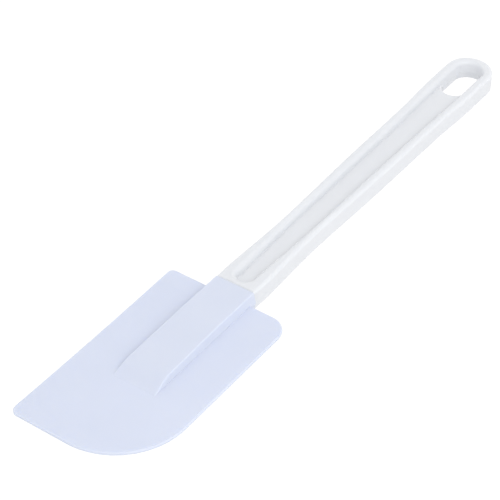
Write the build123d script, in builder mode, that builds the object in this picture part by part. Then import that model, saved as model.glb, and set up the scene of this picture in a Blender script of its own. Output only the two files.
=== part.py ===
from build123d import *
from math import radians, tan
import os

# Long-handled bowl scraper: a stiff moulded handle whose tang pushes into a flexible blade.
#
# Millimetres. The scraper lies flat. X runs along it, from the working edge of the blade at -X
# to the hang hole at +X, Y runs across it and Z is up. The origin is on the centre line at half
# the length, on the surface that the scraper lies on. Both pieces are the same above and below
# the middle plane.

# Overall
TOTAL_LENGTH = 350.0
THICKNESS = 11.2            # handle and sleeve, face to face
HALF_THICKNESS = THICKNESS / 2
MIDDLE = Plane.XY.offset(HALF_THICKNESS)

# Blade: distances along it are measured from the working edge
BLADE_LENGTH = 117.5
BLADE_WIDTH = 69.5
SHEET_THICKNESS = 1.8
SHEET_EDGE_ROUND = 0.6
WORKING_CORNER_RADIUS = 37.0    # the large curved corner that follows the inside of a bowl
FAR_CORNER_RADIUS = 4.0
SHOULDER_RADIUS = 10.0
FAR_SHOULDER_RADIUS = 3.0
EDGE_HOLLOW = 0.5               # how far the long square edge dips in halfway along

# Sleeve: the raised tongue on both faces of the blade, around the tang
SLEEVE_END = 121.5
SLEEVE_HALF_WIDTH = 12.2        # at the middle plane
SLEEVE_DRAFT = 13.5             # degrees
SLEEVE_FULL_FROM = 95.0         # full thickness from here to the end
TONGUE_KNEE = 57.0              # where the tongue begins to fall away to the sheet
TONGUE_KNEE_HEIGHT = 4.6        # above the middle plane
TONGUE_TOE = 41.0               # where it has sunk into the sheet
TONGUE_TOE_HEIGHT = 0.6         # inside the sheet
SLEEVE_EDGE_ROUND = 0.6
NEARLY_SQUARE = 0.9             # part of a direction that lies along an axis

# Handle
HANDLE_START = 121.53
NECK_HALF_WIDTH = 10.9
NECK_CORNER_RADIUS = 0.5
NECK_SPREAD = (1, 0.1)          # how its sides leave the sleeve, along and across
NECK_AT = 128.0
NECK_WIDEST_HALF = 11.2
WAIST_AT = 158.0
WAIST_HALF_WIDTH = 10.3
MIDDLE_AT = 228.0
MIDDLE_HALF_WIDTH = 11.2
FLARE_AT = 300.0
FLARE_HALF_WIDTH = 12.2
END_STRAIGHT_FROM = 326.0
END_RADIUS = 13.0
RIM_ROUND = 1.5

# Channel in both faces of the handle, and the hang hole at its end
RIM_WIDTH = 4.6
CHANNEL_START = 125.3
CHANNEL_START_RADIUS = 4.9
CHANNEL_DRAFT = 12.0            # degrees, in the hang hole too
WEB_THICKNESS = 4.4
CHANNEL_FLOOR_ROUND = 0.6
CHANNEL_RIM_ROUND = 2.4
HANG_HOLE_START = 314.6
HANG_HOLE_RADIUS = 8.0
HANG_HOLE_END = 345.3

# Tang inside the sleeve
TANG_END = 62.0
TANG_ROOT_SIZE = (16.6, 7.2)
TANG_END_SIZE = (15.0, 3.8)
TANG_CORNER_ROUND = 1.4
TANG_ROOT_DEPTH = 0.5           # how far its root is sunk in the handle
TANG_TIP_ROUND = 0.8
TANG_FIT_GAP = 0.06             # between the tang and the socket, all round
SOCKET_END_GAP = 0.6            # ahead of the tang


def along(distance):
    """X of a place that is this far from the working edge."""
    return distance - TOTAL_LENGTH / 2


def sheet_outline():
    """Plan of the flexible sheet, with its one large curved corner on the -Y side."""
    half = BLADE_WIDTH / 2
    tip = along(0)
    shoulder = along(BLADE_LENGTH)
    with BuildSketch(MIDDLE) as outline:
        with BuildLine():
            Line((tip, half), (tip, -half))
            Line((tip, -half), (shoulder, -half))
            Line((shoulder, -half), (shoulder, half))
            ThreePointArc((shoulder, half), (along(BLADE_LENGTH / 2), half - EDGE_HOLLOW), (tip, half))
        make_face()
        corner_radii = (
            ((tip, half), FAR_CORNER_RADIUS),
            ((tip, -half), WORKING_CORNER_RADIUS),
            ((shoulder, half), FAR_SHOULDER_RADIUS),
            ((shoulder, -half), SHOULDER_RADIUS),
        )
        for place, radius in corner_radii:
            corner = outline.vertices().sort_by_distance((*place, HALF_THICKNESS))[0]
            fillet(corner, radius)
    return outline.sketch


def tongue_side():
    """Side view of the upper half of the sleeve and tongue, in a plane beyond the sheet's edge."""
    side_view = Plane(origin=(0, BLADE_WIDTH / 2, HALF_THICKNESS), x_dir=(1, 0, 0), z_dir=(0, -1, 0))
    toe = (along(TONGUE_TOE), TONGUE_TOE_HEIGHT)
    knee = (along(TONGUE_KNEE), TONGUE_KNEE_HEIGHT)
    full = (along(SLEEVE_FULL_FROM), HALF_THICKNESS)
    rise = (full[0] - knee[0], full[1] - knee[1])
    with BuildSketch(side_view) as side:
        with BuildLine():
            Spline(toe, knee, tangents=((1, 0), rise))
            Polyline(
                knee,
                full,
                (along(SLEEVE_END), HALF_THICKNESS),
                (along(SLEEVE_END), 0),
                (along(TONGUE_TOE), 0),
                toe,
            )
        make_face()
    return side.sketch


def rounded_section(distance, size, grown):
    """Section of the tang across the scraper, grown by a gap on every side."""
    width, height = size
    with BuildSketch(Plane.YZ.offset(along(distance))) as section:
        with Locations((0, HALF_THICKNESS)):
            RectangleRounded(width + 2 * grown, height + 2 * grown, TANG_CORNER_ROUND + grown)
    return section.sketch


def handle_outline():
    """Plan of the handle: flared neck, slim waist, wider round end."""
    end_centre = along(TOTAL_LENGTH - END_RADIUS)
    side_points = (
        (along(HANDLE_START), NECK_HALF_WIDTH),
        (along(NECK_AT), NECK_WIDEST_HALF),
        (along(WAIST_AT), WAIST_HALF_WIDTH),
        (along(MIDDLE_AT), MIDDLE_HALF_WIDTH),
        (along(FLARE_AT), FLARE_HALF_WIDTH),
        (along(END_STRAIGHT_FROM), END_RADIUS),
    )
    with BuildSketch(MIDDLE) as outline:
        with BuildLine():
            Spline(*side_points, tangents=(NECK_SPREAD, (1, 0)))
            Line((along(END_STRAIGHT_FROM), END_RADIUS), (end_centre, END_RADIUS))
            RadiusArc((end_centre, END_RADIUS), (end_centre + END_RADIUS, 0), END_RADIUS)
            mirror(about=Plane.XZ)
            Line((along(HANDLE_START), NECK_HALF_WIDTH), (along(HANDLE_START), -NECK_HALF_WIDTH))
        make_face()
        fillet(outline.vertices().group_by(Axis.X)[0], NECK_CORNER_RADIUS)
    return outline.sketch


def wall_inset(depth):
    """How far the channel's leaning walls have come in at a depth below the mouth."""
    return depth * tan(radians(CHANNEL_DRAFT))


def hang_hole_end_line(radius):
    """Straight side of the hang hole and the quarter turn at its end, on the +Y side."""
    side_from = along(HANG_HOLE_START + HANG_HOLE_RADIUS)
    end_centre = along(HANG_HOLE_END - HANG_HOLE_RADIUS)
    Line((side_from, radius), (end_centre, radius))
    RadiusArc((end_centre, radius), (end_centre + radius, 0), radius)


def channel_outline(depth):
    """Plan of the channel at a depth: it keeps the rim's width and ends round the hang hole."""
    inset = wall_inset(depth)
    start_radius = CHANNEL_START_RADIUS - inset
    start_centre = along(CHANNEL_START + CHANNEL_START_RADIUS)
    hole_side_from = along(HANG_HOLE_START + HANG_HOLE_RADIUS)
    side_points = (
        (start_centre, start_radius),
        (along(WAIST_AT), WAIST_HALF_WIDTH - RIM_WIDTH - inset),
        (along(MIDDLE_AT), MIDDLE_HALF_WIDTH - RIM_WIDTH - inset),
        (along(FLARE_AT), FLARE_HALF_WIDTH - RIM_WIDTH - inset),
        (hole_side_from, HANG_HOLE_RADIUS - inset),
    )
    with BuildSketch(Plane.XY.offset(THICKNESS - depth)) as outline:
        with BuildLine():
            RadiusArc((start_centre - start_radius, 0), side_points[0], start_radius)
            Spline(*side_points, tangents=((1, 0), (1, 0)))
            hang_hole_end_line(HANG_HOLE_RADIUS - inset)
            mirror(about=Plane.XZ)
        make_face()
    return outline.sketch


def hang_hole_outline(depth):
    """Plan of the hang hole at a depth: a slot with round ends, as wide as the channel there."""
    radius = HANG_HOLE_RADIUS - wall_inset(depth)
    side_from = along(HANG_HOLE_START + HANG_HOLE_RADIUS)
    with BuildSketch(Plane.XY.offset(THICKNESS - depth)) as outline:
        with BuildLine():
            RadiusArc((side_from - radius, 0), (side_from, radius), radius)
            hang_hole_end_line(radius)
            mirror(about=Plane.XZ)
        make_face()
    return outline.sketch


# The sleeve, and the tongue that it runs out in. Its sides are drafted.
tongue_profile = tongue_side()
with BuildPart() as sleeve:
    with BuildSketch(MIDDLE):
        with Locations((along(TONGUE_TOE), 0)):
            Rectangle(
                SLEEVE_END - TONGUE_TOE + THICKNESS,
                2 * SLEEVE_HALF_WIDTH,
                align=(Align.MIN, Align.CENTER),
            )
    extrude(amount=HALF_THICKNESS, taper=SLEEVE_DRAFT)
    extrude(tongue_profile, amount=BLADE_WIDTH, mode=Mode.INTERSECT)
    drafted_sides = sleeve.faces().filter_by(lambda face: abs(face.normal_at().Y) > NEARLY_SQUARE)
    long_edges = drafted_sides.edges().filter_by(lambda edge: abs(edge.tangent_at().X) > NEARLY_SQUARE)
    top_edges = long_edges.filter_by(lambda edge: edge.center().Z > HALF_THICKNESS + SHEET_THICKNESS)
    fillet(top_edges, SLEEVE_EDGE_ROUND)
    mirror(about=MIDDLE)

# The blade: sheet, tongue and sleeve in one flexible moulding, with the socket for the tang
sheet_plan = sheet_outline()
socket_sections = [
    rounded_section(SLEEVE_END + SOCKET_END_GAP, TANG_ROOT_SIZE, TANG_FIT_GAP),
    rounded_section(TANG_END - SOCKET_END_GAP, TANG_END_SIZE, TANG_FIT_GAP),
]
with BuildPart() as blade:
    extrude(sheet_plan, amount=SHEET_THICKNESS / 2, both=True)
    fillet(blade.edges().filter_by(Axis.Z, reverse=True), SHEET_EDGE_ROUND)
    add(sleeve.part)
    loft(socket_sections, mode=Mode.SUBTRACT)

# The handle: grip with a channel in both faces, hang hole and tang in one stiff moulding
handle_plan = handle_outline()
channel_depth = (THICKNESS - WEB_THICKNESS) / 2
channel_plans = [channel_outline(0), channel_outline(channel_depth)]
hole_plans = [hang_hole_outline(0), hang_hole_outline(HALF_THICKNESS)]
tang_sections = [
    rounded_section(HANDLE_START + TANG_ROOT_DEPTH, TANG_ROOT_SIZE, 0),
    rounded_section(TANG_END, TANG_END_SIZE, 0),
]
with BuildPart() as handle:
    extrude(handle_plan, amount=HALF_THICKNESS)
    top_edges = handle.faces().sort_by(Axis.Z)[-1].edges()
    butt_edge = top_edges.sort_by(Axis.X)[0]
    fillet(top_edges - [butt_edge], RIM_ROUND)
    loft(channel_plans, ruled=True, mode=Mode.SUBTRACT)
    level_faces = handle.faces().filter_by(Plane.XY).sort_by(Axis.Z)
    fillet(level_faces[1].edges(), CHANNEL_FLOOR_ROUND)
    loft(hole_plans, ruled=True, mode=Mode.SUBTRACT)
    rim = handle.faces().filter_by(Plane.XY).sort_by(Axis.Z)[-1]
    fillet(rim.inner_wires()[0].edges(), CHANNEL_RIM_ROUND)
    mirror(about=MIDDLE)
    loft(tang_sections)
    fillet(handle.faces().sort_by(Axis.X)[0].edges(), TANG_TIP_ROUND)

os.makedirs("parts", exist_ok=True)
blade.part.label = "blade"
handle.part.label = "handle"
export_step(blade.part, "parts/blade.step")
export_step(handle.part, "parts/handle.step")
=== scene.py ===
"""Looks of the bowl scraper: white moulded handle, pale blue flexible blade, soft studio light."""
import math

import bpy
from mathutils import Matrix, Vector

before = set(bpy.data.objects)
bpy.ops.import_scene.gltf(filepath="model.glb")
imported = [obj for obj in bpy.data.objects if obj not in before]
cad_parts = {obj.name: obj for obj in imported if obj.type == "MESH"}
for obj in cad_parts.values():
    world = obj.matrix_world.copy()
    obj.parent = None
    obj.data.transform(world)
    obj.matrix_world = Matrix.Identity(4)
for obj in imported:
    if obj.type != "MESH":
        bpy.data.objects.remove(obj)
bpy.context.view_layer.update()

# Camera: it looks across the table at the scraper, from the working edge's side
VIEW_HEADING = math.radians(35.62)      # which way it looks, from +X towards +Y
VIEW_DROP = math.radians(40.4)          # how far it looks down
VIEW_DISTANCE = 0.9012
VIEW_TARGET = Vector((-0.0241, 0.0124, 0.0058))
LENS = 133.7
SENSOR = 36.0
NEAREST_SEEN = 0.01

# Light: a pale table lit from below, a bright sky, and one large soft lamp on the near side
SKY_STRENGTH = 0.93
LAMP_HEADING = math.radians(-112)       # where it stands, from +X towards +Y
LAMP_HEIGHT = math.radians(42)
LAMP_DISTANCE = 1.4
LAMP_SIZE = 1.0
LAMP_POWER = 5.3
TABLE_SIZE = 8.0
TABLE_COLOR = (0.25, 0.25, 0.25)
TABLE_ROUGHNESS = 0.9
TABLE_GLOW = 0.68
TABLE_SEEN_WHITE = 0.8                  # share of the table's look that is plain white
TABLE_SEEN_STRENGTH = 1.1

# Handle: white polypropylene. Depths are in metres
HANDLE_WHITES = ((0.744, 0.760, 0.790), (0.762, 0.776, 0.804))
HANDLE_ROUGHNESS = (0.30, 0.40)
HANDLE_IOR = 1.49
HANDLE_SCATTER_SHARE = 0.8
HANDLE_SCATTER_DEPTH = 0.002
HANDLE_SCATTER_TINT = (1.0, 1.0, 1.0)
HANDLE_SWELL_DEPTH = 0.00012
HANDLE_GRAIN_DEPTH = 0.000006
HANDLE_FLOW_STRETCH = (0.35, 1, 1)      # draws the marks out along X
HANDLE_SWELL_STRETCH = (0.4, 1, 1)

# Blade: pale blue thermoplastic rubber. Depths are in metres
BLADE_BLUES = ((0.648, 0.691, 0.806), (0.665, 0.706, 0.820))
BLADE_ROUGHNESS = (0.44, 0.54)
BLADE_IOR = 1.45
BLADE_SCATTER_SHARE = 0.6
BLADE_SCATTER_DEPTH = 0.0015
BLADE_SCATTER_TINT = (0.9, 0.95, 1.0)
BLADE_SWELL_DEPTH = 0.00015
BLADE_GRAIN_DEPTH = 0.000010

# Noise stays between these nearly everywhere
NOISE_LOW = 0.3
NOISE_HIGH = 0.7


class Nodes:
    """Adds nodes to one material and links them to its Principled shader."""

    def __init__(self, name):
        self.material = bpy.data.materials.new(name)
        self.material.use_nodes = True
        self.tree = self.material.node_tree
        self.shader = self.tree.nodes["Principled BSDF"]

    def add(self, kind, **settings):
        node = self.tree.nodes.new(kind)
        for name, value in settings.items():
            setattr(node, name, value)
        return node

    def link(self, output, socket):
        self.tree.links.new(output, socket)

    def noise(self, cells_per_metre, detail, stretch=(1, 1, 1)):
        """Noise over the object, from 0 to 1."""
        place = self.add("ShaderNodeTexCoord").outputs["Object"]
        mapping = self.add("ShaderNodeMapping")
        mapping.inputs["Scale"].default_value = stretch
        self.link(place, mapping.inputs["Vector"])
        noise = self.add("ShaderNodeTexNoise")
        noise.inputs["Scale"].default_value = cells_per_metre
        noise.inputs["Detail"].default_value = detail
        self.link(mapping.outputs["Vector"], noise.inputs["Vector"])
        return noise.outputs["Fac"]

    def span(self, noise, low, high):
        """A number that goes from low to high with the noise."""
        span = self.add("ShaderNodeMapRange")
        span.inputs["From Min"].default_value = NOISE_LOW
        span.inputs["From Max"].default_value = NOISE_HIGH
        span.inputs["To Min"].default_value = low
        span.inputs["To Max"].default_value = high
        self.link(noise, span.inputs["Value"])
        return span.outputs["Result"]

    def vary_color(self, noise, colors):
        """Base colour that goes from the first colour to the second with the noise."""
        mix = self.add("ShaderNodeMix", data_type="RGBA")
        mix.inputs["A"].default_value = (*colors[0], 1)
        mix.inputs["B"].default_value = (*colors[1], 1)
        self.link(self.span(noise, 0, 1), mix.inputs["Factor"])
        self.link(mix.outputs["Result"], self.shader.inputs["Base Color"])

    def vary_roughness(self, noise, limits):
        self.link(self.span(noise, *limits), self.shader.inputs["Roughness"])

    def relief(self, *layers):
        """Surface relief from (noise, depth) pairs, stacked."""
        normal = None
        for noise, depth in layers:
            bump = self.add("ShaderNodeBump")
            bump.inputs["Strength"].default_value = 1.0
            bump.inputs["Distance"].default_value = depth
            self.link(noise, bump.inputs["Height"])
            if normal is not None:
                self.link(normal, bump.inputs["Normal"])
            normal = bump.outputs["Normal"]
        self.link(normal, self.shader.inputs["Normal"])

    def scatter(self, share, depth, tint):
        """Light that passes a little way into the material."""
        self.shader.inputs["Subsurface Weight"].default_value = share
        self.shader.inputs["Subsurface Radius"].default_value = tint
        self.shader.inputs["Subsurface Scale"].default_value = depth


def handle_plastic():
    """White plastic: soft gloss, faint flow marks along the mould, fine moulded grain."""
    nodes = Nodes("handle_plastic")
    nodes.vary_color(nodes.noise(26, detail=2, stretch=HANDLE_FLOW_STRETCH), HANDLE_WHITES)
    nodes.vary_roughness(nodes.noise(90, detail=4), HANDLE_ROUGHNESS)
    swell = nodes.noise(60, detail=1, stretch=HANDLE_SWELL_STRETCH)
    grain = nodes.noise(5200, detail=2)
    nodes.relief((swell, HANDLE_SWELL_DEPTH), (grain, HANDLE_GRAIN_DEPTH))
    nodes.scatter(HANDLE_SCATTER_SHARE, HANDLE_SCATTER_DEPTH, HANDLE_SCATTER_TINT)
    nodes.shader.inputs["IOR"].default_value = HANDLE_IOR
    return nodes.material


def blade_rubber():
    """Pale blue rubber: satin, cloudy, and a little light passes through its thin sheet."""
    nodes = Nodes("blade_rubber")
    nodes.vary_color(nodes.noise(34, detail=3), BLADE_BLUES)
    nodes.vary_roughness(nodes.noise(140, detail=4), BLADE_ROUGHNESS)
    swell = nodes.noise(45, detail=1)
    grain = nodes.noise(3600, detail=3)
    nodes.relief((swell, BLADE_SWELL_DEPTH), (grain, BLADE_GRAIN_DEPTH))
    nodes.scatter(BLADE_SCATTER_SHARE, BLADE_SCATTER_DEPTH, BLADE_SCATTER_TINT)
    nodes.shader.inputs["IOR"].default_value = BLADE_IOR
    return nodes.material


def table_top():
    """Pale glowing table. It looks near white to the camera, with faint shadows."""
    nodes = Nodes("table_top")
    nodes.shader.inputs["Base Color"].default_value = (*TABLE_COLOR, 1)
    nodes.shader.inputs["Emission Color"].default_value = (1, 1, 1, 1)
    nodes.shader.inputs["Emission Strength"].default_value = TABLE_GLOW
    nodes.shader.inputs["Roughness"].default_value = TABLE_ROUGHNESS
    nodes.shader.inputs["Specular IOR Level"].default_value = 0.0
    white = nodes.add("ShaderNodeEmission")
    white.inputs["Strength"].default_value = TABLE_SEEN_STRENGTH
    seen = nodes.add("ShaderNodeMath", operation="MULTIPLY")
    seen.inputs[1].default_value = TABLE_SEEN_WHITE
    nodes.link(nodes.add("ShaderNodeLightPath").outputs["Is Camera Ray"], seen.inputs[0])
    mix = nodes.add("ShaderNodeMixShader")
    nodes.link(seen.outputs["Value"], mix.inputs["Fac"])
    nodes.link(nodes.shader.outputs["BSDF"], mix.inputs[1])
    nodes.link(white.outputs["Emission"], mix.inputs[2])
    nodes.link(mix.outputs["Shader"], nodes.tree.nodes["Material Output"].inputs["Surface"])
    return nodes.material


def add_camera():
    heading = Vector((math.cos(VIEW_HEADING), math.sin(VIEW_HEADING), 0))
    forward = heading * math.cos(VIEW_DROP) - Vector((0, 0, math.sin(VIEW_DROP)))
    right = Vector((heading.y, -heading.x, 0))
    up = right.cross(forward)
    data = bpy.data.cameras.new("camera")
    data.lens = LENS
    data.sensor_width = SENSOR
    data.clip_start = NEAREST_SEEN
    camera = bpy.data.objects.new("camera", data)
    place = VIEW_TARGET - forward * VIEW_DISTANCE
    turn = Matrix((right, up, -forward)).transposed().to_4x4()
    camera.matrix_world = Matrix.Translation(place) @ turn
    bpy.context.collection.objects.link(camera)
    bpy.context.scene.camera = camera


def add_floor():
    bpy.ops.mesh.primitive_plane_add(size=TABLE_SIZE)
    floor = bpy.context.object
    floor.name = "floor"
    floor.data.materials.append(table_top())


def add_sky():
    world = bpy.data.worlds.new("studio")
    bpy.context.scene.world = world
    world.use_nodes = True
    background = world.node_tree.nodes["Background"]
    background.inputs["Color"].default_value = (1, 1, 1, 1)
    background.inputs["Strength"].default_value = SKY_STRENGTH
    bpy.context.scene.view_settings.view_transform = "Standard"


def add_lamp():
    lamp = bpy.data.lights.new("lamp", "AREA")
    lamp.shape = "DISK"
    lamp.size = LAMP_SIZE
    lamp.energy = LAMP_POWER
    stand = bpy.data.objects.new("lamp", lamp)
    heading = Vector((math.cos(LAMP_HEADING), math.sin(LAMP_HEADING), 0))
    towards = heading * math.cos(LAMP_HEIGHT) + Vector((0, 0, math.sin(LAMP_HEIGHT)))
    stand.location = towards * LAMP_DISTANCE
    stand.rotation_euler = towards.to_track_quat("Z", "Y").to_euler()
    bpy.context.collection.objects.link(stand)


add_camera()
add_floor()
add_sky()
add_lamp()
for node, make in (("handle", handle_plastic), ("blade", blade_rubber)):
    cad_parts[node].data.materials.clear()
    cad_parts[node].data.materials.append(make())
